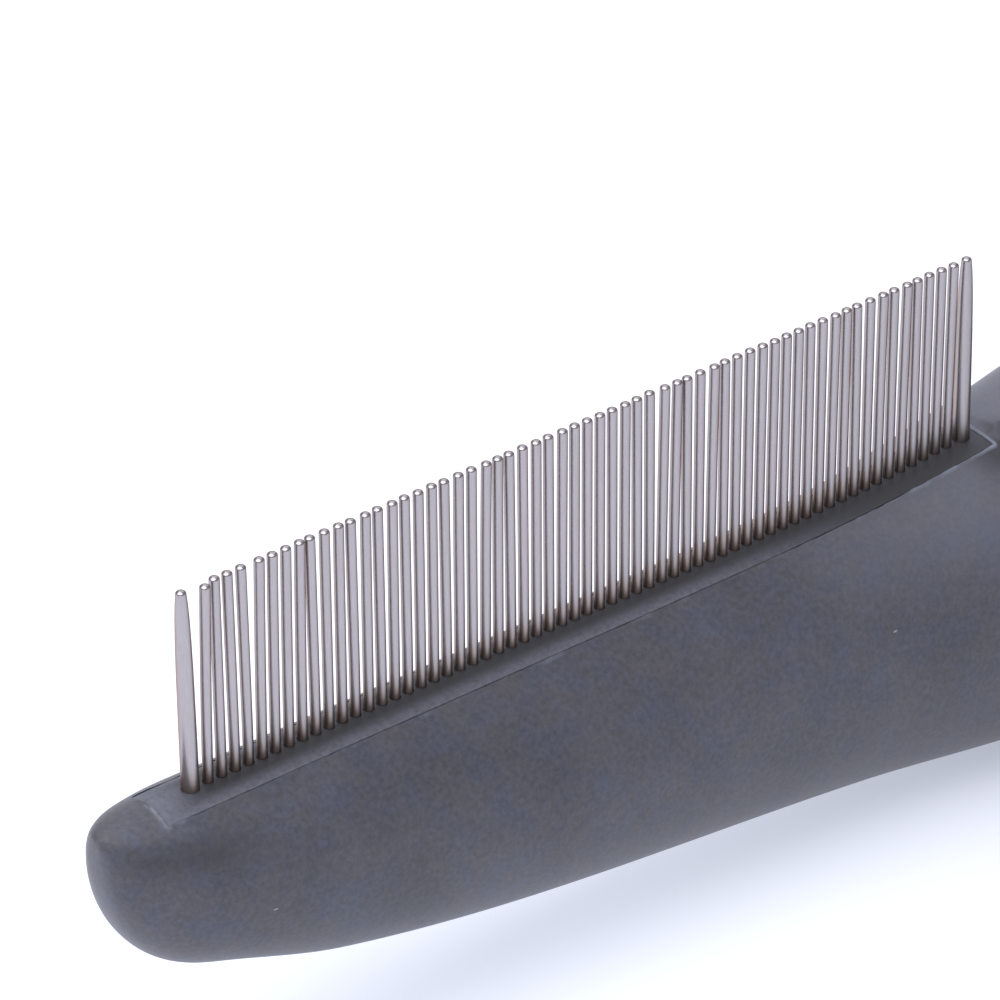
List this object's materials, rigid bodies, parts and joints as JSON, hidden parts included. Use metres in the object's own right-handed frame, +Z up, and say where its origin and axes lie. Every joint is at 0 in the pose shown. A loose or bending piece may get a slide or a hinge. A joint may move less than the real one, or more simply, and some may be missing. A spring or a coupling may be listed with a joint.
{
  "type": "fine-tooth grooming comb",
  "caption": "Pet grooming comb: a close row of round steel pin teeth between thicker tapered end pins, set in a bar on a long soft-grip handle with a hang hole.",
  "frame": {"origin": "centre of the bounding box at its bottom, on the flat land under the handle that the comb stands on with its teeth up", "axes": "+Z up along the teeth, from foot to tip; +X along the comb from the nose to the tail of the handle; +Y to its left side"},
  "size_m": [0.1914, 0.025, 0.0442],
  "materials": {
    "steel": "drawn wire, polished tips",
    "bar_plastic": "moulded, satin",
    "soft_grip": "soft-touch moulded, matt",
    "core_plastic": "moulded"
  },
  "bodies": {
    "root": {"soft_grip": "soft_grip", "handle_core": "core_plastic", "tooth_bar": "bar_plastic", "root_strip": "core_plastic", "tooth_pair_01": "steel", "tooth_pair_02": "steel", "tooth_pair_03": "steel", "tooth_pair_04": "steel", "tooth_pair_05": "steel", "tooth_pair_06": "steel", "tooth_pair_07": "steel", "tooth_pair_08": "steel", "tooth_pair_09": "steel", "tooth_pair_10": "steel", "tooth_pair_11": "steel", "tooth_pair_12": "steel", "tooth_pair_13": "steel", "tooth_pair_14": "steel", "tooth_pair_15": "steel", "tooth_pair_16": "steel", "tooth_pair_17": "steel", "tooth_pair_18": "steel", "tooth_pair_19": "steel", "tooth_pair_20": "steel", "tooth_pair_21": "steel", "tooth_pair_22": "steel", "tooth_pair_23": "steel", "tooth_pair_24": "steel", "tooth_pair_25": "steel", "tooth_pair_26": "steel", "tooth_pair_27": "steel", "tooth_pair_28": "steel", "tooth_pair_29": "steel", "tooth_pair_30": "steel", "guard_pin_front": "steel", "guard_pin_rear": "steel"}
  },
  "joints": []
}
